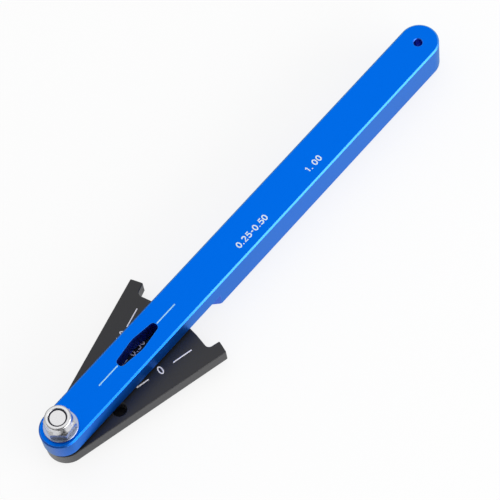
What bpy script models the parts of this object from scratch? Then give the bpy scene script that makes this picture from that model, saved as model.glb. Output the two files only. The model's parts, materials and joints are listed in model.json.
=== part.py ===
"""Chain wear gauge: a blue bar with a black index plate that swings under its thin end.

The bar is one machined length of aluminium. Its near end is milled thin from below, and a
fan shaped plate hangs in that bay on a bolt. The plate carries the scale, which is read
through a window in the bar. Two prongs at the plate's outer corners stop its swing: one
against the side of the thick part, the other against the slanted end of the bay.

Frame: +X runs from the pivot to the far end, +Y to the side where the bay is shortest and
+Z up. The origin is under the middle of the whole part, on the surface that it lies on.
"""
import math

import bmesh
import bpy

MM = 0.001

# General fits
SEAT_GAP = 0.05 * MM
RUNNING_CLEARANCE = 0.05 * MM
WASHER_CLEARANCE = 0.15 * MM
CUT_MARGIN = 2.0 * MM

# Bar
BAR_LENGTH = 135.0 * MM
BAR_WIDTH = 9.5 * MM
BAR_HEIGHT = 9.5 * MM
BAR_CHAMFER = 0.35 * MM
PIVOT_INSET = 5.2 * MM
LANYARD_INSET = 5.1 * MM
LANYARD_DIAMETER = 2.0 * MM
MOUTH_CHAMFER = 0.15 * MM

# Bay under the thin end of the bar
BAY_CORNER_CLEARANCE = 0.75 * MM
BAY_END_ANGLE = math.radians(45.0)

# Reading window
WINDOW_CENTRE = 25.3 * MM
WINDOW_LENGTH = 12.7 * MM
WINDOW_WIDTH = 3.6 * MM
WINDOW_END_WIDTH = 1.9 * MM
WINDOW_END_FILLET = 0.85 * MM
WINDOW_SIDE_FILLET = 8.0 * MM

# Index plate, whose underside hangs a little lower than the bar's
PLATE_DROP = 0.45 * MM
PLATE_THICKNESS = 3.9 * MM
PLATE_CHAMFER = 0.15 * MM
PLATE_ROOT_RADIUS = 4.9 * MM
PLATE_HALF_ANGLE = math.radians(14.1)
PLATE_ARC_RADIUS = 37.65 * MM
PRONG_REACH = 3.15 * MM
PRONG_WIDTH = 3.15 * MM
PRONG_ROOT_FILLET = 1.1 * MM
POCKET_DISTANCE = 13.5 * MM
POCKET_ANGLE = math.radians(-21.9)
POCKET_DIAMETER = 3.4 * MM
POCKET_DEPTH = 3.0 * MM

# Pivot bolt, a low headed socket screw
BOLT_DIAMETER = 3.8 * MM
BOLT_END_CHAMFER = 0.12 * MM
BOLT_END_RECESS = 0.3 * MM
HEAD_DIAMETER = 7.6 * MM
HEAD_HEIGHT = 1.15 * MM
HEAD_FLAT_DIAMETER = 5.0 * MM
HEAD_RIM = 0.3 * MM
SOCKET_WIDTH = 2.5 * MM
SOCKET_DEPTH = 1.2 * MM

# Washers
WASHER_DIAMETER = 8.0 * MM
WASHER_THICKNESS = 0.5 * MM
WASHER_CHAMFER = 0.1 * MM
SPACER_DIAMETER = 8.4 * MM
SPACER_THICKNESS = 0.85 * MM

# Lock nut with its insert
NUT_WIDTH = 6.45 * MM
NUT_HEIGHT = 4.7 * MM
NUT_CORNER_HEIGHT = 1.85 * MM
NUT_SHOULDER_HEIGHT = 2.1 * MM
NUT_CROWN_HEIGHT = 2.7 * MM
NUT_BASE_CHAMFER = 0.2 * MM
NUT_TURN = math.radians(-23.0)
COLLAR_DIAMETER = 6.1 * MM
COLLAR_ROUND = 0.45 * MM
LIP_DIAMETER = 4.6 * MM
LIP_THICKNESS = 0.3 * MM
INSERT_HEIGHT = 1.0 * MM
INSERT_WALL = 0.5 * MM
INSERT_CLEARANCE = 0.03 * MM

# Smoothness of round forms
ARC_STEP = math.radians(6.0)
TURN_STEPS = 48
HEAD_ROUND_STEPS = 6
COLLAR_ROUND_STEPS = 5
SHARP_ANGLE = math.radians(35.0)
FLAT_ANGLE = math.radians(0.5)
RIM_ANGLE = math.radians(60.0)

# Heights, counted from the underside of the bar
PLATE_BOTTOM = -PLATE_DROP
PLATE_TOP = PLATE_BOTTOM + PLATE_THICKNESS
SPACER_BOTTOM = PLATE_TOP + SEAT_GAP
BAY_HEIGHT = SPACER_BOTTOM + SPACER_THICKNESS + SEAT_GAP
WASHER_BOTTOM = BAR_HEIGHT + SEAT_GAP
NUT_BOTTOM = WASHER_BOTTOM + WASHER_THICKNESS + SEAT_GAP
BOLT_END = NUT_BOTTOM + NUT_HEIGHT - BOLT_END_RECESS
HEAD_TOP = PLATE_BOTTOM - SEAT_GAP
HEAD_BOTTOM = HEAD_TOP - HEAD_HEIGHT

# Places in plan, counted from the pivot
NEAR_END = -PIVOT_INSET
FAR_END = BAR_LENGTH - PIVOT_INSET
LANYARD_X = FAR_END - LANYARD_INSET
PRONG_TIP_RADIUS = PLATE_ARC_RADIUS + PRONG_REACH
BAY_CORNER_RADIUS = PLATE_ARC_RADIUS + BAY_CORNER_CLEARANCE
BAY_SHORT = math.sqrt(BAY_CORNER_RADIUS**2 - (BAR_WIDTH / 2) ** 2)
BAY_LONG = BAY_SHORT + BAR_WIDTH / math.tan(BAY_END_ANGLE)

# The pivot's place under the origin
PIVOT_X = PIVOT_INSET - BAR_LENGTH / 2
UNDERSIDE_Z = -HEAD_BOTTOM

BLUE = (0.0, 0.13, 0.78)
BLACK = (0.035, 0.035, 0.04)
STEEL = (0.62, 0.61, 0.59)
NYLON = (0.02, 0.025, 0.05)


def clear_scene():
    for item in list(bpy.data.objects):
        bpy.data.objects.remove(item, do_unlink=True)


def make_collection(name):
    group = bpy.data.collections.new(name)
    bpy.context.scene.collection.children.link(group)
    return group


def make_material(name, colour, roughness, metallic):
    mat = bpy.data.materials.new(name)
    mat.use_nodes = True
    shader = mat.node_tree.nodes["Principled BSDF"]
    shader.inputs["Base Color"].default_value = (*colour, 1.0)
    shader.inputs["Roughness"].default_value = roughness
    shader.inputs["Metallic"].default_value = metallic
    mat.diffuse_color = (*colour, 1.0)
    return mat


def polar(radius, angle):
    return (radius * math.cos(angle), radius * math.sin(angle))


def arc_points(centre, radius, start, end):
    """Points along an arc, with both ends."""
    count = max(2, math.ceil(abs(end - start) / ARC_STEP))
    points = []
    for i in range(count + 1):
        x, y = polar(radius, start + (end - start) * i / count)
        points.append((centre[0] + x, centre[1] + y))
    return points


def stadium(start, end, width):
    """A bar's plan: two straight sides and two half round ends."""
    radius = width / 2
    quarter = math.pi / 2
    near = arc_points((start + radius, 0.0), radius, quarter, 3 * quarter)
    far = arc_points((end - radius, 0.0), radius, -quarter, quarter)
    return near + far


def fillet_corner(before, corner, after, radius):
    """The arc that rounds one corner of an outline, tangent to both of its sides."""
    ax, ay = before[0] - corner[0], before[1] - corner[1]
    bx, by = after[0] - corner[0], after[1] - corner[1]
    la, lb = math.hypot(ax, ay), math.hypot(bx, by)
    ax, ay, bx, by = ax / la, ay / la, bx / lb, by / lb
    half = math.acos(max(-1.0, min(1.0, ax * bx + ay * by))) / 2
    reach = min(radius / math.tan(half), 0.49 * la, 0.49 * lb)
    radius = reach * math.tan(half)
    mx, my = ax + bx, ay + by
    lm = math.hypot(mx, my)
    far = math.hypot(reach, radius)
    centre = (corner[0] + mx / lm * far, corner[1] + my / lm * far)
    start = math.atan2(corner[1] + ay * reach - centre[1], corner[0] + ax * reach - centre[0])
    turn = math.pi - 2 * half
    if ax * by - ay * bx > 0:
        turn = -turn
    return arc_points(centre, radius, start, start + turn)


def window_plan():
    """The reading window: a long slot, wider in the middle, with rounded corners."""
    half_length = WINDOW_LENGTH / 2
    half_end = WINDOW_END_WIDTH / 2
    half_middle = WINDOW_WIDTH / 2
    corners = [
        (half_length, -half_end, WINDOW_END_FILLET),
        (half_length, half_end, WINDOW_END_FILLET),
        (0.0, half_middle, WINDOW_SIDE_FILLET),
        (-half_length, half_end, WINDOW_END_FILLET),
        (-half_length, -half_end, WINDOW_END_FILLET),
        (0.0, -half_middle, WINDOW_SIDE_FILLET),
    ]
    points = []
    for i, (x, y, radius) in enumerate(corners):
        after = corners[(i + 1) % len(corners)]
        points += fillet_corner(corners[i - 1][:2], (x, y), after[:2], radius)
    return [(WINDOW_CENTRE + x, y) for x, y in points]


def plate_plan():
    """The fan: a round root, two tangent sides, and an arc between two prongs."""
    quarter = math.pi / 2
    outer = PLATE_HALF_ANGLE + math.asin(PLATE_ROOT_RADIUS / PRONG_TIP_RADIUS)
    inner = outer - PRONG_WIDTH / PRONG_TIP_RADIUS
    fillet_radius = PLATE_ARC_RADIUS + PRONG_ROOT_FILLET
    fillet_angle = inner - math.asin(PRONG_ROOT_FILLET / fillet_radius)
    half = arc_points((0.0, 0.0), PLATE_ARC_RADIUS, 0.0, fillet_angle)
    half += arc_points(
        polar(fillet_radius, fillet_angle),
        PRONG_ROOT_FILLET,
        fillet_angle - math.pi,
        inner - math.pi * 1.5,
    )[1:]
    half += arc_points((0.0, 0.0), PRONG_TIP_RADIUS, inner, outer)
    half += arc_points((0.0, 0.0), PLATE_ROOT_RADIUS, PLATE_HALF_ANGLE + quarter, math.pi)
    mirrored = [(x, -y) for x, y in reversed(half[1:-1])]
    return half + mirrored


def extruded(name, plan, bottom, top, group):
    """A flat outline raised from bottom to top."""
    curve = bpy.data.curves.new(name, "CURVE")
    curve.dimensions = "2D"
    curve.fill_mode = "BOTH"
    curve.extrude = (top - bottom) / 2
    spline = curve.splines.new("POLY")
    spline.points.add(len(plan) - 1)
    for point, (x, y) in zip(spline.points, plan):
        point.co = (x, y, 0.0, 1.0)
    spline.use_cyclic_u = True
    source = bpy.data.objects.new(name + "_outline", curve)
    bpy.context.scene.collection.objects.link(source)
    source.location.z = (top + bottom) / 2
    graph = bpy.context.evaluated_depsgraph_get()
    mesh = bpy.data.meshes.new_from_object(source.evaluated_get(graph))
    mesh.transform(source.matrix_world)
    shape = bmesh.new()
    shape.from_mesh(mesh)
    bmesh.ops.remove_doubles(shape, verts=shape.verts, dist=1e-6)
    bmesh.ops.dissolve_limit(
        shape,
        angle_limit=FLAT_ANGLE,
        verts=shape.verts,
        edges=shape.edges,
    )
    bmesh.ops.recalc_face_normals(shape, faces=shape.faces)
    shape.to_mesh(mesh)
    shape.free()
    bpy.data.objects.remove(source, do_unlink=True)
    item = bpy.data.objects.new(name, mesh)
    group.objects.link(item)
    return item


def turned(name, profile, group, closed):
    """A profile of (radius, height) points turned about Z.

    A closed profile makes a ring; an open one starts and ends on the axis.
    """
    mesh = bpy.data.meshes.new(name)
    edges = [(i, i + 1) for i in range(len(profile) - 1)]
    if closed:
        edges.append((len(profile) - 1, 0))
    mesh.from_pydata([(r, 0.0, z) for r, z in profile], edges, [])
    item = bpy.data.objects.new(name, mesh)
    group.objects.link(item)
    screw = item.modifiers.new("turn", "SCREW")
    screw.axis = "Z"
    screw.steps = TURN_STEPS
    screw.render_steps = TURN_STEPS
    screw.use_merge_vertices = True
    screw.merge_threshold = 1e-6
    screw.use_smooth_shade = True
    return item


def cone(name, radius_bottom, radius_top, bottom, top, sides, group, place=(0.0, 0.0), turn=0.0):
    """A straight or tapered drill, reamer or hexagonal broach along Z."""
    mesh = bpy.data.meshes.new(name)
    shape = bmesh.new()
    bmesh.ops.create_cone(
        shape,
        cap_ends=True,
        segments=sides,
        radius1=radius_bottom,
        radius2=radius_top,
        depth=top - bottom,
    )
    shape.to_mesh(mesh)
    shape.free()
    item = bpy.data.objects.new(name, mesh)
    item.location = (place[0], place[1], (top + bottom) / 2)
    item.rotation_euler.z = turn
    group.objects.link(item)
    return item


def cut(piece, cutter, operation="DIFFERENCE"):
    step = piece.modifiers.new(cutter.name, "BOOLEAN")
    step.operation = operation
    step.solver = "EXACT"
    step.object = cutter


def drill(piece, name, diameter, bottom, top, group, place=(0.0, 0.0)):
    tool = cone(name, diameter / 2, diameter / 2, bottom, top, TURN_STEPS, group, place)
    cut(piece, tool)
    return tool


def countersink(piece, name, diameter, mouth, group, place=(0.0, 0.0)):
    """Break the edge of a hole whose mouth faces up at the height given."""
    low = diameter / 2
    high = low + 2 * MOUTH_CHAMFER
    bottom = mouth - MOUTH_CHAMFER
    tool = cone(name, low, high, bottom, bottom + 2 * MOUTH_CHAMFER, TURN_STEPS, group, place)
    cut(piece, tool)
    return tool


def soften_rims(piece, width):
    rims = piece.modifiers.new("rims", "BEVEL")
    rims.width = width
    rims.segments = 1
    rims.limit_method = "ANGLE"
    rims.angle_limit = RIM_ANGLE


def build_bar(parts, cutters):
    bar = extruded("bar", stadium(NEAR_END, FAR_END, BAR_WIDTH), 0.0, BAR_HEIGHT, parts)
    soften_rims(bar, BAR_CHAMFER)
    beyond = BAR_WIDTH / 2 + CUT_MARGIN
    slope = CUT_MARGIN / math.tan(BAY_END_ANGLE)
    bay_plan = [
        (NEAR_END - CUT_MARGIN, -beyond),
        (BAY_LONG + slope, -beyond),
        (BAY_SHORT - slope, beyond),
        (NEAR_END - CUT_MARGIN, beyond),
    ]
    tools = [
        extruded("bay_cutter", bay_plan, -CUT_MARGIN, BAY_HEIGHT, cutters),
        extruded("window_cutter", window_plan(), 0.0, BAR_HEIGHT + CUT_MARGIN, cutters),
    ]
    for tool in tools:
        cut(bar, tool)
    high = BAR_HEIGHT + CUT_MARGIN
    hole = BOLT_DIAMETER + 2 * RUNNING_CLEARANCE
    tools.append(drill(bar, "bar_pivot_drill", hole, 0.0, high, cutters))
    far = (LANYARD_X, 0.0)
    tools.append(drill(bar, "lanyard_drill", LANYARD_DIAMETER, -CUT_MARGIN, high, cutters, far))
    tools.append(countersink(bar, "lanyard_mouth", LANYARD_DIAMETER, BAR_HEIGHT, cutters, far))
    return bar, tools


def build_plate(parts, cutters):
    plate = extruded("index_plate", plate_plan(), PLATE_BOTTOM, PLATE_TOP, parts)
    soften_rims(plate, PLATE_CHAMFER)
    low = PLATE_BOTTOM - CUT_MARGIN
    high = PLATE_TOP + CUT_MARGIN
    hole = BOLT_DIAMETER + 2 * RUNNING_CLEARANCE
    place = polar(POCKET_DISTANCE, POCKET_ANGLE)
    floor = PLATE_TOP - POCKET_DEPTH
    tools = [
        drill(plate, "plate_pivot_drill", hole, low, high, cutters),
        drill(plate, "pocket_drill", POCKET_DIAMETER, floor, high, cutters, place),
        countersink(plate, "pocket_mouth", POCKET_DIAMETER, PLATE_TOP, cutters, place),
    ]
    return plate, tools


def build_bolt(parts, cutters):
    shank = BOLT_DIAMETER / 2
    rim = HEAD_DIAMETER / 2
    flat = HEAD_FLAT_DIAMETER / 2
    rim_bottom = HEAD_TOP - HEAD_RIM
    drop = rim_bottom - HEAD_BOTTOM
    profile = [
        (0.0, BOLT_END),
        (shank - BOLT_END_CHAMFER, BOLT_END),
        (shank, BOLT_END - BOLT_END_CHAMFER),
        (shank, HEAD_TOP),
        (rim, HEAD_TOP),
        (rim, rim_bottom),
    ]
    for i in range(1, HEAD_ROUND_STEPS + 1):
        angle = math.pi / 2 * i / HEAD_ROUND_STEPS
        radius = flat + (rim - flat) * math.cos(angle)
        profile.append((radius, rim_bottom - drop * math.sin(angle)))
    profile.append((0.0, HEAD_BOTTOM))
    bolt = turned("pivot_bolt", profile, parts, False)
    corner = SOCKET_WIDTH / 2 / math.cos(math.pi / 6)
    ceiling = HEAD_BOTTOM + SOCKET_DEPTH
    low = HEAD_BOTTOM - CUT_MARGIN
    socket = cone("socket_broach", corner, corner, low, ceiling, 6, cutters)
    cut(bolt, socket)
    return bolt, [socket]


def ring_profile(inner, outer, bottom, top, chamfer):
    """The section of a flat ring with its outer edges broken."""
    return [
        (inner, top),
        (outer - chamfer, top),
        (outer, top - chamfer),
        (outer, bottom + chamfer),
        (outer - chamfer, bottom),
        (inner, bottom),
    ]


def build_washer(parts):
    inner = BOLT_DIAMETER / 2 + WASHER_CLEARANCE
    outer = WASHER_DIAMETER / 2
    top = WASHER_BOTTOM + WASHER_THICKNESS
    profile = ring_profile(inner, outer, WASHER_BOTTOM, top, WASHER_CHAMFER)
    return turned("washer", profile, parts, True)


def build_spacer(parts):
    inner = BOLT_DIAMETER / 2 + WASHER_CLEARANCE
    outer = SPACER_DIAMETER / 2
    top = SPACER_BOTTOM + SPACER_THICKNESS
    profile = [(inner, top), (outer, top), (outer, SPACER_BOTTOM), (inner, SPACER_BOTTOM)]
    return turned("spacer_washer", profile, parts, True)


def build_nut(parts, cutters):
    """A turned blank with its collar rolled over the insert, cut to a hexagon below.

    A steep crown leads from the collar down to a narrow shoulder over the six flats.
    """
    bore = BOLT_DIAMETER / 2 + RUNNING_CLEARANCE
    corner = NUT_WIDTH / 2 / math.cos(math.pi / 6)
    across = NUT_WIDTH / 2
    collar = COLLAR_DIAMETER / 2
    lip = LIP_DIAMETER / 2
    pocket = bore + INSERT_WALL + INSERT_CLEARANCE
    top = NUT_BOTTOM + NUT_HEIGHT
    lip_bottom = top - LIP_THICKNESS
    pocket_bottom = lip_bottom - INSERT_HEIGHT - 2 * INSERT_CLEARANCE
    profile = [(bore, pocket_bottom), (pocket, pocket_bottom), (pocket, lip_bottom)]
    profile += [(lip, lip_bottom), (lip, top)]
    for i in range(COLLAR_ROUND_STEPS + 1):
        angle = math.pi / 2 * (1 - i / COLLAR_ROUND_STEPS)
        radius = collar - COLLAR_ROUND + COLLAR_ROUND * math.cos(angle)
        profile.append((radius, top - COLLAR_ROUND + COLLAR_ROUND * math.sin(angle)))
    profile += [
        (collar, NUT_BOTTOM + NUT_CROWN_HEIGHT),
        (across, NUT_BOTTOM + NUT_SHOULDER_HEIGHT),
        (corner, NUT_BOTTOM + NUT_CORNER_HEIGHT),
        (corner, NUT_BOTTOM + NUT_BASE_CHAMFER),
        (across, NUT_BOTTOM),
        (bore, NUT_BOTTOM),
    ]
    nut = turned("lock_nut", profile, parts, True)
    low = NUT_BOTTOM - CUT_MARGIN
    high = top + CUT_MARGIN
    hexagon = cone("hexagon", corner, corner, low, high, 6, cutters, turn=NUT_TURN)
    cut(nut, hexagon, "INTERSECT")
    inner = bore
    outer = bore + INSERT_WALL
    bottom = pocket_bottom + INSERT_CLEARANCE
    ring = [(inner, bottom + INSERT_HEIGHT), (outer, bottom + INSERT_HEIGHT)]
    ring += [(outer, bottom), (inner, bottom)]
    insert = turned("nut_insert", ring, parts, True)
    return nut, insert, [hexagon]


def finish(piece, material):
    piece.data.materials.clear()
    piece.data.materials.append(material)
    piece.data.shade_smooth()
    piece.data.set_sharp_from_angle(angle=SHARP_ANGLE)


def build():
    clear_scene()
    parts = make_collection("chain_wear_gauge")
    cutters = make_collection("cutters")

    blue = make_material("blue_anodised", BLUE, 0.35, 0.6)
    black = make_material("black_anodised", BLACK, 0.45, 0.4)
    steel = make_material("stainless_steel", STEEL, 0.25, 1.0)
    nylon = make_material("dark_nylon", NYLON, 0.5, 0.0)

    bar, bar_tools = build_bar(parts, cutters)
    plate, plate_tools = build_plate(parts, cutters)
    bolt, bolt_tools = build_bolt(parts, cutters)
    washer = build_washer(parts)
    spacer = build_spacer(parts)
    nut, insert, nut_tools = build_nut(parts, cutters)

    finish(bar, blue)
    finish(plate, black)
    finish(bolt, steel)
    finish(washer, steel)
    finish(spacer, nylon)
    finish(nut, steel)
    finish(insert, nylon)

    # The empty stands on the swing axis, so the plate turns about its own origin.
    pivot = bpy.data.objects.new("pivot", None)
    parts.objects.link(pivot)
    pivot.location = (PIVOT_X, 0.0, UNDERSIDE_Z)
    for piece in (bar, plate, bolt, washer, spacer, nut, insert):
        piece.parent = pivot
    for tool in bar_tools + plate_tools + bolt_tools + nut_tools:
        tool.parent = pivot
        tool.hide_render = True
        tool.display_type = "WIRE"
    bpy.context.view_layer.update()


build()
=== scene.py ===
# %% [markdown]
# # Chain wear gauge
# This is a hand gauge for bicycle chains. A blue anodised bar carries a black index plate that
# swings under its thin end on one bolt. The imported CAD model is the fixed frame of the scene:
# its seven pieces are already in place, and this script gives them their finish, adds the
# nut's rolled lip and the printed marks, and sets up the camera and the studio.

import json
import math

import bmesh
import bpy
from mathutils import Matrix, Vector


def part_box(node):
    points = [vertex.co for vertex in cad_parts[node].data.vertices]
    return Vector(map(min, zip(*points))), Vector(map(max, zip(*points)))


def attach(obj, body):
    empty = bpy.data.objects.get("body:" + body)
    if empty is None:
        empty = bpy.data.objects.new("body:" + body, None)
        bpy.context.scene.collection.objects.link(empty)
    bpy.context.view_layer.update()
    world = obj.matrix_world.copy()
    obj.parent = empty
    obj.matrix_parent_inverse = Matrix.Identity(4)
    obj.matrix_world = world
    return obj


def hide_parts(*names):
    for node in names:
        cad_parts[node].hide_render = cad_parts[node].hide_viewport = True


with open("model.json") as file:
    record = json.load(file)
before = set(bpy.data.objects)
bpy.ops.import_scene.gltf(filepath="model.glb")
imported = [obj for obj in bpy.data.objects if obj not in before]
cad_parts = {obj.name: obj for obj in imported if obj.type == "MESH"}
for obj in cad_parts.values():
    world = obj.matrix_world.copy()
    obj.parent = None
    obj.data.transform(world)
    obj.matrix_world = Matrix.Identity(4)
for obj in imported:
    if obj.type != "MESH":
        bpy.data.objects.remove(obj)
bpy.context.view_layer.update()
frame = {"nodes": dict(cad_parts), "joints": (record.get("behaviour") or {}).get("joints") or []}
MM = 0.001
print("nodes:", sorted(frame["nodes"]))

# %% [markdown]
# The swing axis and the heights of the two printed faces are read from the frame, so every
# mark lies on the real surface, whatever the sizes in the CAD are.

# %% Places that the marks need
pivot = Vector(frame["joints"][0]["pos_m"])
bar_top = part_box("bar")[1].z
plate_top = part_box("index_plate")[1].z
print("heights in mm: plate", round(plate_top / MM, 2), "bar", round(bar_top / MM, 2))

# %% [markdown]
# ## Camera
# The photograph looks down on the bar from the pivot's end, with a long lens. A camera can be
# placed by eye or aimed at a target, but here its place and its axes were worked out from the
# outlines of the bar, so the render can be laid over the photograph.

# %% Camera
CAMERA_PLACE = Vector((-160.28, -193.07, 502.14)) * MM
CAMERA_RIGHT = Vector((0.65072, -0.75486, -0.08214))
CAMERA_UP = Vector((0.70351, 0.55866, 0.43929))
SENSOR_WIDTH_IN_MM = 36.0
FOCAL_LENGTH_IN_MM = 174.27
CLIP_START = 10 * MM

scene = bpy.context.scene
lens = bpy.data.cameras.new("camera")
lens.sensor_width = SENSOR_WIDTH_IN_MM
lens.lens = FOCAL_LENGTH_IN_MM
lens.clip_start = CLIP_START
camera = bpy.data.objects.new("camera", lens)
scene.collection.objects.link(camera)
right = CAMERA_RIGHT.normalized()
back = right.cross(CAMERA_UP).normalized()
axes = Matrix((right, back.cross(right), back)).transposed()
camera.matrix_world = Matrix.Translation(CAMERA_PLACE) @ axes.to_4x4()
scene.camera = camera
print("the camera looks along", [round(-part, 3) for part in back])

# %% [markdown]
# ## Studio
# A product photograph of metal is mostly a photograph of what the metal reflects: large soft
# lamps and white card. A sky texture or a picture of a room would give livelier reflections,
# but plain lamps keep the colours as they are written. One wide lamp hangs where the bar's top
# face mirrors it to the camera, and a low one on the right draws the bright line on its edge.

# %% Lamps
WHITE = (1.0, 1.0, 1.0, 1.0)
WORLD_STRENGTH = 0.6
LAMPS = {
    "top_lamp": {"place": (0.25, 0.3, 0.95), "size": (1.1, 1.1), "power": 1.9},
    "edge_lamp": {"place": (0.25, -0.8, 0.31), "size": (1.1, 0.4), "power": 5.0},
}


def soft_lamp(name, place, size, power):
    """A rectangular lamp at place that faces the origin."""
    data = bpy.data.lights.new(name, "AREA")
    data.shape = "RECTANGLE"
    data.size, data.size_y = size
    data.energy = power
    lamp = bpy.data.objects.new(name, data)
    lamp.location = place
    lamp.rotation_euler = (-Vector(place)).to_track_quat("-Z", "Y").to_euler()
    scene.collection.objects.link(lamp)


for name, settings in LAMPS.items():
    soft_lamp(name, **settings)

world = bpy.data.worlds.new("studio")
world.use_nodes = True
scene.world = world
sky = world.node_tree.nodes["Background"]
sky.inputs["Color"].default_value = WHITE
sky.inputs["Strength"].default_value = WORLD_STRENGTH

scene.view_settings.view_transform = "Standard"

# %% [markdown]
# Bright metal needs something dark to mirror too, or its form is lost, so a real studio adds
# black cards. Three of them stand and face the gauge: one right behind the camera, one lower
# down, which draws the dark bands on the steel, and one beyond the near end. Two small ones lie
# on the floor, where the bar's left edge and its near end mirror them. Only reflections see
# the cards, so they take no light from the floor.

# %% Black cards
CARDS = {
    "card_behind": ((-0.57, -0.69, 0.42), (0.75, 0.5)),
    "card_near": ((-0.93, 0.1, 0.3), (0.9, 0.5)),
    "card_left": ((0.02, 0.11, 0.002), (0.24, 0.16)),
    "card_above": ((-0.2, -0.24, 0.62), (0.5, 0.5)),
    "card_front": ((-0.105, -0.05, 0.002), (0.08, 0.08)),
}
LYING_CARDS = ("card_left", "card_front")
CARD_GREY = 0.01
DULL_ROUGHNESS = 0.9


def plain_material(name, grey):
    """A dull, even surface without a sheen, and its shader."""
    made = bpy.data.materials.new(name)
    made.use_nodes = True
    shader = made.node_tree.nodes["Principled BSDF"]
    shader.inputs["Base Color"].default_value = (grey, grey, grey, 1.0)
    shader.inputs["Roughness"].default_value = DULL_ROUGHNESS
    shader.inputs["Specular IOR Level"].default_value = 0.0
    return made, shader


def new_piece(name, mesh, material):
    """An object of that mesh and material, in the scene."""
    mesh.materials.append(material)
    piece = bpy.data.objects.new(name, mesh)
    scene.collection.objects.link(piece)
    return piece


def sheet(name, place, size, material):
    """A flat rectangle of the studio, level until it is turned."""
    across, along = size[0] / 2, size[1] / 2
    corners = [(-across, -along), (across, -along), (across, along), (-across, along)]
    mesh = bpy.data.meshes.new(name)
    mesh.from_pydata([(x, y, 0.0) for x, y in corners], [], [(0, 1, 2, 3)])
    piece = new_piece(name, mesh, material)
    piece.location = place
    return piece


card_black, _ = plain_material("card_black", CARD_GREY)
for name, (place, size) in CARDS.items():
    card = sheet(name, place, size, card_black)
    if name not in LYING_CARDS:
        card.rotation_euler = (-Vector(place)).to_track_quat("Z", "Y").to_euler()
    card.visible_camera = False
    card.visible_diffuse = False
    card.visible_shadow = False
print("cards:", list(CARDS))

# %% [markdown]
# ## Shader nodes in few words
# From here on every material is a tree of nodes. Written out, a node takes four or five lines
# that say little, so small helpers add a node, a sum, a new range or a mix of colours in one
# line each. A Mix node has a pair of sockets for each kind of value, and all the pairs are
# called A and B, so they are found by number: 2 and 3 for numbers, 6 and 7 for colours.

# %% Helpers for shader nodes
MIX_NUMBERS = (2, 3)
MIX_COLOURS = (6, 7)
MIXED_COLOUR = 2


def add(tree, kind, sockets, **settings):
    """A node of that kind. Each socket, by name or number, gets a value or a link."""
    node = tree.nodes.new(kind)
    for name, value in settings.items():
        setattr(node, name, value)
    for key, value in sockets.items():
        if isinstance(value, bpy.types.NodeSocket):
            tree.links.new(value, node.inputs[key])
        else:
            node.inputs[key].default_value = value
    return node


def maths(tree, operation, a, b=0.0):
    """The result of one sum on one or two numbers or links."""
    return add(tree, "ShaderNodeMath", {0: a, 1: b}, operation=operation).outputs[0]


def ranged(tree, value, ends):
    """The value moved from one range to another. Ends that aren't given are 0 and 1."""
    return add(tree, "ShaderNodeMapRange", {"Value": value, **ends}).outputs[0]


def mixed(tree, factor, under, over):
    """The colour over, laid on the colour under as far as the factor says."""
    sockets = {0: factor}
    for key, colour in zip(MIX_COLOURS, (under, over)):
        linked = isinstance(colour, bpy.types.NodeSocket)
        sockets[key] = colour if linked else (*colour, 1.0)
    return add(tree, "ShaderNodeMix", sockets, data_type="RGBA").outputs[MIXED_COLOUR]


print("sockets of a Mix node: numbers", MIX_NUMBERS, "colours", MIX_COLOURS)

# %% [markdown]
# The floor is white paper. Lit evenly it would still come out grey near the object and burnt
# out far from it, so it partly glows for the rays that see it, from the camera or by way of
# the metal: for them the paper's own shade is low and the glow makes up the rest, which leaves
# a pale shadow on clean white. The rays that light the object from below find plain white
# paper.

# %% Floor
FLOOR_SIZE = 3.0
PAPER_GREY = 0.93
SEEN_GREY = 0.2
SEEN_GLOW = 0.805

paper, paper_shader = plain_material("floor_paper", PAPER_GREY)
paper_tree = paper.node_tree
rays = add(paper_tree, "ShaderNodeLightPath", {}).outputs
seen = maths(paper_tree, "MAXIMUM", rays["Is Camera Ray"], rays["Is Glossy Ray"])
paper_links = {
    "Base Color": ranged(paper_tree, seen, {"To Min": PAPER_GREY, "To Max": SEEN_GREY}),
    "Emission Strength": ranged(paper_tree, seen, {"To Max": SEEN_GLOW}),
}
for socket, link in paper_links.items():
    paper_tree.links.new(link, paper_shader.inputs[socket])
paper_shader.inputs["Emission Color"].default_value = WHITE
sheet("floor", (0.0, 0.0, 0.0), (FLOOR_SIZE, FLOOR_SIZE), paper)
print("floor:", FLOOR_SIZE, "m square")

# %% [markdown]
# ## Effects that several materials share
# Grain and edge wear turn up on every metal part here. A painted texture would need an unwrap
# for each piece, so both are shader node groups instead, made once and placed in each
# material with its own values. They read the object's own coordinates, which are in metres.
#
# Bead blasting leaves a fine, even grain, and handling leaves broad faint patches. Two noise
# textures of very different sizes give both: the fine one for the height, their mix for tone.

# %% Grain group
PATCHES_PER_M = 90.0
GRAIN_DETAIL = 3.0


def new_group(name, inputs, outputs):
    """A shader node group of number sockets, with its inner input and output nodes."""
    group = bpy.data.node_groups.new(name, "ShaderNodeTree")
    for socket, value in inputs.items():
        made = group.interface.new_socket(socket, in_out="INPUT", socket_type="NodeSocketFloat")
        made.default_value = value
    for socket in outputs:
        group.interface.new_socket(socket, in_out="OUTPUT", socket_type="NodeSocketFloat")
    source = group.nodes.new("NodeGroupInput").outputs
    return group, source, group.nodes.new("NodeGroupOutput").inputs


def noise(tree, scale, **more):
    """Even noise over the object, with that many grains to the metre."""
    where = add(tree, "ShaderNodeTexCoord", {}).outputs["Object"]
    sockets = {"Vector": where, "Scale": scale, **more}
    return add(tree, "ShaderNodeTexNoise", sockets).outputs["Fac"]


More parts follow.
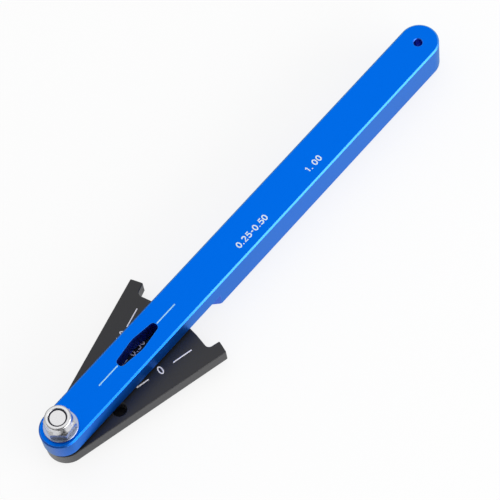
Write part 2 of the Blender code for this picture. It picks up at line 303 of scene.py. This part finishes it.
grain, grain_in, grain_out = new_group(
    "grain", {"Fine per mm": 6.0, "Patches": 0.3}, ["Tone", "Height"]
)
per_metre = maths(grain, "DIVIDE", grain_in["Fine per mm"], MM)
fine = noise(grain, per_metre, Detail=GRAIN_DETAIL)
patches = noise(grain, PATCHES_PER_M)
blend = {0: grain_in["Patches"], MIX_NUMBERS[0]: fine, MIX_NUMBERS[1]: patches}
tone = add(grain, "ShaderNodeMix", blend).outputs[0]
grain.links.new(tone, grain_out["Tone"])
grain.links.new(fine, grain_out["Height"])
print("grain group:", len(grain.nodes), "nodes")

# %% [markdown]
# Edges catch light and rub pale first. The Bevel node gives a normal rounded over nearby
# edges; where it differs from the surface's own normal there is an edge. Painting a mask by
# hand would be lost as soon as the model changes, and this one follows it.

# %% Edge wear group
SPECKS_PER_M = 1400.0
SAME_NORMAL = 0.995
EDGE_NORMAL = 0.90

wear, wear_in, wear_out = new_group("edge_wear", {"Width mm": 0.25, "Breakup": 0.5}, ["Mask"])
reach = maths(wear, "MULTIPLY", wear_in["Width mm"], MM)
rounded = add(wear, "ShaderNodeBevel", {"Radius": reach}).outputs[0]
own = add(wear, "ShaderNodeNewGeometry", {}).outputs["Normal"]
alike = add(wear, "ShaderNodeVectorMath", {0: rounded, 1: own}, operation="DOT_PRODUCT")
limits = {"From Min": SAME_NORMAL, "From Max": EDGE_NORMAL}
edge = ranged(wear, alike.outputs["Value"], limits)
lost = maths(wear, "MULTIPLY", noise(wear, SPECKS_PER_M), wear_in["Breakup"])
kept = maths(wear, "SUBTRACT", 1.0, lost)
wear.links.new(maths(wear, "MULTIPLY", edge, kept), wear_out["Mask"])
print("edge wear group:", len(wear.nodes), "nodes")

# %% [markdown]
# ## Materials
# Some faces get a colour of their own, and most of it is painted light. The bar's chamfers are
# paler, partly as a cut finish of their own and partly as a painted highlight, which is dimmed on
# the thin part. The rounded near end of the bar and of the plate gets a paler painted sheen. In
# the window and the holes a fixed blue takes over as painted shade. Separate materials on those
# faces would leave hard borders, so three masks find them by their shape, in the object's own
# directions.
# The first squares the upward part of a face's direction: twice the square, less one, is 1 on
# a level face, -1 on an upright one and 0 halfway.

# %% Masks that follow the shape
SLANT_POWER = 3.0
# Over the thin part the painted highlight on the chamfers is dimmed to 0.18 of its share.
THIN_PART = {"From Min": -31 * MM, "From Max": -17 * MM, "To Min": 0.18}
RECESS_REACH = 15 * MM
RECESS_POWER = 8.0


def part_of(tree, vector, axis):
    """One of the three numbers of a vector."""
    return add(tree, "ShaderNodeSeparateXYZ", {0: vector}).outputs[axis]


# Paler chamfers: partly a cut finish of their own, partly a painted highlight.
def chamfer_and_highlight_mask(tree):
    """1 on faces that look half up, 0 on level and upright ones, and low on the thin part."""
    normal = add(tree, "ShaderNodeNewGeometry", {}).outputs["True Normal"]
    upward = maths(tree, "MAXIMUM", part_of(tree, normal, "Z"), 0.0)
    doubled = maths(tree, "MULTIPLY", maths(tree, "MULTIPLY", upward, upward), 2.0)
    level_or_upright = maths(tree, "ABSOLUTE", maths(tree, "SUBTRACT", doubled, 1.0))
    slanting = maths(tree, "SUBTRACT", 1.0, level_or_upright)
    slant = maths(tree, "POWER", slanting, SLANT_POWER)
    where = add(tree, "ShaderNodeTexCoord", {}).outputs["Object"]
    share = ranged(tree, part_of(tree, where, "X"), THIN_PART)
    return maths(tree, "MULTIPLY", slant, share)


# Painted sheen: the near end is painted paler and greyer than the sides, in place of the light
# that falls on it.
def painted_sheen_mask(tree):
    """1 on faces that look out of the near end, 0 on the long sides and beyond."""
    normal = add(tree, "ShaderNodeTexCoord", {}).outputs["Normal"]
    nearward = maths(tree, "MINIMUM", part_of(tree, normal, "X"), 0.0)
    return maths(tree, "MULTIPLY", nearward, nearward)


# Painted shade: where the piece hides its own light, a fixed colour takes over.
def painted_shade_mask(tree):
    """1 in the open, and near 0 deep in a hollow of the same piece, where the painted shade goes.
    """
    reach = {"Distance": RECESS_REACH}
    depth = add(tree, "ShaderNodeAmbientOcclusion", reach, only_local=True)
    return maths(tree, "POWER", depth.outputs["AO"], RECESS_POWER)


print("thin part in mm:", [round(THIN_PART[end] / MM) for end in ("From Min", "From Max")])

# %% [markdown]
# All the finishes are built alike: grain mixes two shades, the masks add their painted highlight,
# sheen and shade where a finish has them, edge wear adds the edge shade, and the same grain stirs
# the roughness and a very low bump. The values that are the same all over a surface are set on
# the shader.


# %% Helper for finishes
def finish(
    name,
    shades,
    edge_shade,
    roughness,
    grain_values,
    wear_values,
    bump_in_mm,
    fixed,
    chamfer_and_highlight=None,
    near_end_sheen=None,
    recess_shade=None,
):
    """A grained material: shades and roughness are pairs, from the grain's low to its high."""
    made = bpy.data.materials.new(name)
    made.use_nodes = True
    tree = made.node_tree
    shader = tree.nodes["Principled BSDF"]
    grained = add(tree, "ShaderNodeGroup", grain_values, node_tree=grain).outputs
    worn = add(tree, "ShaderNodeGroup", wear_values, node_tree=wear).outputs
    colour = mixed(tree, grained["Tone"], *shades)
    # paler chamfers: partly a cut finish, partly a painted highlight
    if chamfer_and_highlight:
        colour = mixed(tree, chamfer_and_highlight_mask(tree), colour, chamfer_and_highlight)
    # painted sheen on the near end
    if near_end_sheen:
        colour = mixed(tree, painted_sheen_mask(tree), colour, near_end_sheen)
    colour = mixed(tree, worn["Mask"], colour, edge_shade)
    # painted shade in the window and the holes
    if recess_shade:
        colour = mixed(tree, painted_shade_mask(tree), recess_shade, colour)
    smooth, rough = roughness
    relief = {"Height": grained["Height"], "Distance": bump_in_mm * MM, "Strength": 1.0}
    links = {
        "Base Color": colour,
        "Roughness": ranged(tree, grained["Tone"], {"To Min": smooth, "To Max": rough}),
        "Normal": add(tree, "ShaderNodeBump", relief).outputs[0],
    }
    for socket, link in links.items():
        tree.links.new(link, shader.inputs[socket])
    for socket, value in fixed.items():
        shader.inputs[socket].default_value = value
    return made


# %% [markdown]
# The bar is anodised aluminium: metal seen through a clear dyed film, so it reflects in blue.
# At a low angle any metal mirrors paler, and the dye keeps that blue too, which the specular
# tint says. The plate's black film hides the metal, so it is a dark solid with a satin sheen.
# The nut and bolt are plain bright steel, and the washer has the bluish tone of zinc plating.

# %% Metal finishes
blue = finish(
    "blue_anodised",
    shades=((0.0, 0.148, 0.79), (0.0, 0.174, 0.9)),
    edge_shade=(0.07, 0.4, 0.98),
    roughness=(0.4, 0.48),
    grain_values={"Fine per mm": 5.0, "Patches": 0.35},
    wear_values={"Width mm": 0.15, "Breakup": 0.3},
    bump_in_mm=0.002,
    fixed={"Metallic": 1.0, "Specular Tint": (0.88, 1.0, 0.55, 1.0)},
    # chamfers: partly a cut finish, partly a painted highlight
    chamfer_and_highlight=(0.064, 0.32, 0.9),
    # near end: a painted sheen, paler and greyer
    near_end_sheen=(0.08, 0.17, 0.68),
    # window and holes: painted shade
    recess_shade=(0.05, 0.13, 0.85),
)
black = finish(
    "black_anodised",
    shades=((0.009, 0.009, 0.012), (0.017, 0.017, 0.021)),
    edge_shade=(0.06, 0.06, 0.065),
    roughness=(0.34, 0.48),
    grain_values={"Fine per mm": 5.0, "Patches": 0.25},
    wear_values={"Width mm": 0.15, "Breakup": 0.6},
    bump_in_mm=0.006,
    fixed={"Metallic": 0.0},
    # near end of the plate: a painted sheen, paler grey
    near_end_sheen=(0.11, 0.11, 0.113),
)


def bright_metal(name, low, high):
    """Bare or plated steel between two shades."""
    return finish(
        name,
        shades=(low, high),
        edge_shade=(0.92, 0.92, 0.93),
        roughness=(0.24, 0.32),
        grain_values={"Fine per mm": 8.0, "Patches": 0.2},
        wear_values={"Width mm": 0.12, "Breakup": 0.3},
        bump_in_mm=0.001,
        fixed={"Metallic": 1.0},
    )


steel = bright_metal("stainless_steel", (0.66, 0.66, 0.67), (0.8, 0.8, 0.81))
zinc = bright_metal("washer_zinc", (0.37, 0.43, 0.58), (0.47, 0.53, 0.7))
print("metals:", [made.name for made in (blue, black, steel, zinc)])

# %% [markdown]
# The thin spacer under the bar and the ring in the nut are dark nylon. It is no metal, so it
# has a soft sheen of its own and takes its colour from the shade alone.

# %% Nylon
nylon = finish(
    "dark_nylon",
    shades=((0.008, 0.01, 0.03), (0.014, 0.017, 0.045)),
    edge_shade=(0.02, 0.025, 0.06),
    roughness=(0.4, 0.55),
    grain_values={"Fine per mm": 6.0, "Patches": 0.3},
    wear_values={"Width mm": 0.1, "Breakup": 0.5},
    bump_in_mm=0.002,
    fixed={"Metallic": 0.0},
)
print("plastic:", nylon.name)

# %% [markdown]
# ## The CAD pieces
# The imported nodes have the right shape, but they are shaded as flat triangles. Shading could be
# smoothed on the nodes themselves, but they are kept as imported, so each one is stood for by a
# copy: its triangles are joined into faces, its edges are rounded a little and its round walls
# are shaded smooth.

# %% Dress a node
WELD = 0.001 * MM
SAME_PLANE = math.radians(0.5)
ROUNDED_ABOVE = math.radians(30.0)
RIM_SEGMENTS = 2


def smooth_mesh(name, shape):
    """A smoothly shaded mesh of the bmesh, which is used up."""
    mesh = bpy.data.meshes.new(name)
    shape.to_mesh(mesh)
    shape.free()
    mesh.shade_smooth()
    return mesh


def dressed(node, body, material, rounding_in_mm=0.0):
    """A smooth copy of a CAD node, with its edges rounded, that stands for the node."""
    source = frame["nodes"][node].data
    shape = bmesh.new()
    corners = [shape.verts.new(vertex.co) for vertex in source.vertices]
    for polygon in source.polygons:
        shape.faces.new([corners[i] for i in polygon.vertices])
    bmesh.ops.remove_doubles(shape, verts=shape.verts, dist=WELD)
    bmesh.ops.dissolve_limit(
        shape, angle_limit=SAME_PLANE, verts=shape.verts, edges=shape.edges
    )
    mesh = smooth_mesh(node + "_dressed", shape)
    mesh.set_sharp_from_angle(angle=ROUNDED_ABOVE)
    piece = new_piece(node + "_dressed", mesh, material)
    if rounding_in_mm:
        rim = piece.modifiers.new("rim", "BEVEL")
        rim.width = rounding_in_mm * MM
        rim.segments = RIM_SEGMENTS
        rim.limit_method = "ANGLE"
        rim.angle_limit = ROUNDED_ABOVE
        rim.harden_normals = True
    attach(piece, body)
    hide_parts(node)
    print(piece.name, len(mesh.polygons), "faces")


dressed("bar", "handle", blue, rounding_in_mm=0.08)
dressed("index_plate", "plate", black, rounding_in_mm=0.06)
dressed("pivot_bolt", "handle", steel)
dressed("washer", "handle", zinc, rounding_in_mm=0.05)
dressed("spacer_washer", "handle", nylon)
dressed("lock_nut", "handle", steel, rounding_in_mm=0.08)
dressed("nut_insert", "handle", nylon)

# %% [markdown]
# The nut's collar is rolled in over its nylon ring, which leaves a smooth round lip. It could
# be cut into the nut's own mesh, but a ring swept along the mouth gives the roll at once.

# %% Rolled lip of the nut
LIP_RADIUS = 2.3 * MM
LIP_ROLL = 0.17 * MM
LIP_STEPS = 64
ROLL_STEPS = 12


def ring(name, centre, radius, roll, body, material):
    """A round ring with its middle at centre, level, that rides on the body."""
    shape = bmesh.new()
    rows = []
    for i in range(LIP_STEPS):
        turn = Matrix.Rotation(2 * math.pi * i / LIP_STEPS, 3, "Z")
        row = []
        for k in range(ROLL_STEPS):
            angle = 2 * math.pi * k / ROLL_STEPS
            spoke = Vector((radius + roll * math.cos(angle), 0.0, roll * math.sin(angle)))
            row.append(shape.verts.new(centre + turn @ spoke))
        rows.append(row)
    for here, after in zip(rows, rows[1:] + rows[:1]):
        for k in range(ROLL_STEPS):
            following = (k + 1) % ROLL_STEPS
            shape.faces.new((here[k], after[k], after[following], here[following]))
    bmesh.ops.recalc_face_normals(shape, faces=shape.faces)
    mesh = smooth_mesh(name, shape)
    piece = new_piece(name, mesh, material)
    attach(piece, body)
    print(name, len(mesh.polygons), "faces")


nut_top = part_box("lock_nut")[1].z
lip_centre = Vector((pivot.x, pivot.y, nut_top - LIP_ROLL))
ring("nut_lip", lip_centre, LIP_RADIUS, LIP_ROLL, "handle", steel)

# %% [markdown]
# ## Printed marks
# The scale's lines and numbers are laser marks about 0.3 mm wide. A font would depend on what
# is installed, so each figure is drawn here as a few strokes in a box one unit high. A full
# oval or a part of one gives the round strokes.

# %% Figures as strokes
OVAL_STEPS = 20


def oval(centre, reach, start=0.0, end=2 * math.pi):
    """Points on an oval, or on a part of it, counted from its right side."""
    points = []
    for i in range(OVAL_STEPS + 1):
        angle = start + (end - start) * i / OVAL_STEPS
        x = centre[0] + reach[0] * math.cos(angle)
        y = centre[1] + reach[1] * math.sin(angle)
        points.append((x, y))
    return points


FIGURES = {
    "0": [oval((0.28, 0.5), (0.2, 0.43))],
    "1": [[(0.12, 0.74), (0.3, 0.93), (0.3, 0.07)]],
    "2": [oval((0.28, 0.68), (0.19, 0.25), 2.8, -0.7) + [(0.09, 0.07), (0.5, 0.07)]],
    "5": [[(0.5, 0.92), (0.17, 0.92), (0.12, 0.5)] + oval((0.27, 0.34), (0.23, 0.27), 2.3, -2.6)],
    ".": [[(0.1, 0.0), (0.1, 0.16)]],
    "-": [[(0.1, 0.46), (0.36, 0.46)]],
    " ": [],
}
ADVANCE = {"0": 0.62, "1": 0.56, "2": 0.62, "5": 0.6, ".": 0.28, "-": 0.46, " ": 0.26}


def figure_strokes(text, height, stretch):
    """The strokes of a number with its middle at the origin, height high."""
    strokes = []
    x = 0.0
    for sign in text:
        strokes += [[(x + px, py) for px, py in stroke] for stroke in FIGURES[sign]]
        x += ADVANCE[sign]
    wide = height * stretch
    return [[((px - x / 2) * wide, (py - 0.5) * height) for px, py in s] for s in strokes]


print("figures:", " ".join(FIGURES))

# %% [markdown]
# Each stroke becomes a fine round tube that is pressed nearly flat on the surface, so the marks
# are real shapes that the export keeps. They could be an image on the plate instead, but that
# would blur in a close view.

# %% Print the strokes
INK_THICKNESS = 0.03 * MM
TUBE_ROUNDNESS = 2


def printed(name, groups, line_width, level, body, material):
    """One piece of all the strokes in groups, each group with its own place on the surface."""
    curve = bpy.data.curves.new(name, "CURVE")
    curve.dimensions = "3D"
    curve.bevel_depth = line_width / 2
    curve.bevel_resolution = TUBE_ROUNDNESS
    curve.use_fill_caps = True
    for place, strokes in groups:
        for stroke in strokes:
            spline = curve.splines.new("POLY")
            spline.points.add(len(stroke) - 1)
            for point, (x, y) in zip(spline.points, stroke):
                point.co = (*(place @ Vector((x, y, 0.0))), 1.0)
    source = bpy.data.objects.new(name + "_curve", curve)
    mesh = bpy.data.meshes.new_from_object(source)
    bpy.data.objects.remove(source, do_unlink=True)
    flat = Matrix.Diagonal((1.0, 1.0, INK_THICKNESS / line_width, 1.0))
    mesh.transform(Matrix.Translation((pivot.x, 0.0, level)) @ flat)
    piece = new_piece(name, mesh, material)
    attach(piece, body)
    print(name, len(mesh.polygons), "faces")


def ink(name, low, high):
    """The finish of a printed mark, between two shades."""
    return finish(
        name,
        shades=(low, high),
        edge_shade=high,
        roughness=(0.5, 0.65),
        grain_values={"Fine per mm": 8.0, "Patches": 0.2},
        wear_values={"Width mm": 0.02, "Breakup": 0.5},
        bump_in_mm=0.001,
        fixed={"Metallic": 0.0, "Specular IOR Level": 0.2},
    )


plate_ink = ink("plate_mark", (0.9, 0.88, 0.92), (1.0, 0.98, 1.0))
bar_ink = ink("bar_mark", (0.34, 0.7, 1.0), (0.42, 0.8, 1.0))
legend_ink = ink("legend_mark", (0.74, 0.88, 1.0), (0.82, 0.95, 1.0))
print("inks:", [made.name for made in (plate_ink, bar_ink, legend_ink)])

# %% [markdown]
# On the plate each reading is a line, a number and a line, nearly on one ray from the pivot. On
# the bar an index line points at each end of the window, so the reading is the number that
# stands between them. Line and number have a turn of their own in degrees, because the real
# numbers don't stand quite straight.

# %% Scale and index lines
LINE_WIDTH = 0.3 * MM
FIGURE_HEIGHT = 2.2 * MM
INNER_LINE = (19.4 * MM, 22.7 * MM)
OUTER_LINE = (29.45 * MM, 34.5 * MM)
INDEX_LINES = [(12.5 * MM, 18.7 * MM), (31.9 * MM, 38.0 * MM)]
READINGS = {
    "0": {"line_turn": -13.65, "turn": -13.2, "radius": 26.15 * MM, "stretch": 1.05},
    "0.50": {"line_turn": 4.25, "turn": 4.6, "radius": 26.3 * MM, "stretch": 1.0},
    "1.0": {"line_turn": 14.05, "turn": 13.75, "radius": 26.85 * MM, "stretch": 0.9},
}


def straight(spans):
    """Strokes along the ray, from the start to the end of each span."""
    return [[(start, 0.0), (end, 0.0)] for start, end in spans]


scale_groups = []
for text, reading in READINGS.items():
    ray = Matrix.Rotation(math.radians(reading["line_turn"]), 4, "Z")
    scale_groups.append((ray, straight((INNER_LINE, OUTER_LINE))))
    turn = Matrix.Rotation(math.radians(reading["turn"]), 4, "Z")
    at = turn @ Matrix.Translation((reading["radius"], 0.0, 0.0))
    scale_groups.append((at, figure_strokes(text, FIGURE_HEIGHT, reading["stretch"])))
printed("scale_marks", scale_groups, LINE_WIDTH, plate_top, "plate", plate_ink)
index_groups = [(Matrix(), straight(INDEX_LINES))]
printed("index_lines", index_groups, LINE_WIDTH, bar_top, "handle", bar_ink)

# %% [markdown]
# Further along the bar, beside its middle line, two more readings stand in smaller and wider
# figures. Their places are measured from the pivot.

# %% Readings on the bar
LEGEND = {"0.25-0.50": (62.75 * MM, -1.65 * MM), "1. 00": (84.75 * MM, -1.45 * MM)}
LEGEND_HEIGHT = 1.6 * MM
LEGEND_STRETCH = 1.37
LEGEND_LINE_WIDTH = 0.31 * MM

legend_groups = []
for text, (x, y) in LEGEND.items():
    strokes = figure_strokes(text, LEGEND_HEIGHT, LEGEND_STRETCH)
    legend_groups.append((Matrix.Translation((x, y, 0.0)), strokes))
printed("legend", legend_groups, LEGEND_LINE_WIDTH, bar_top, "handle", legend_ink)
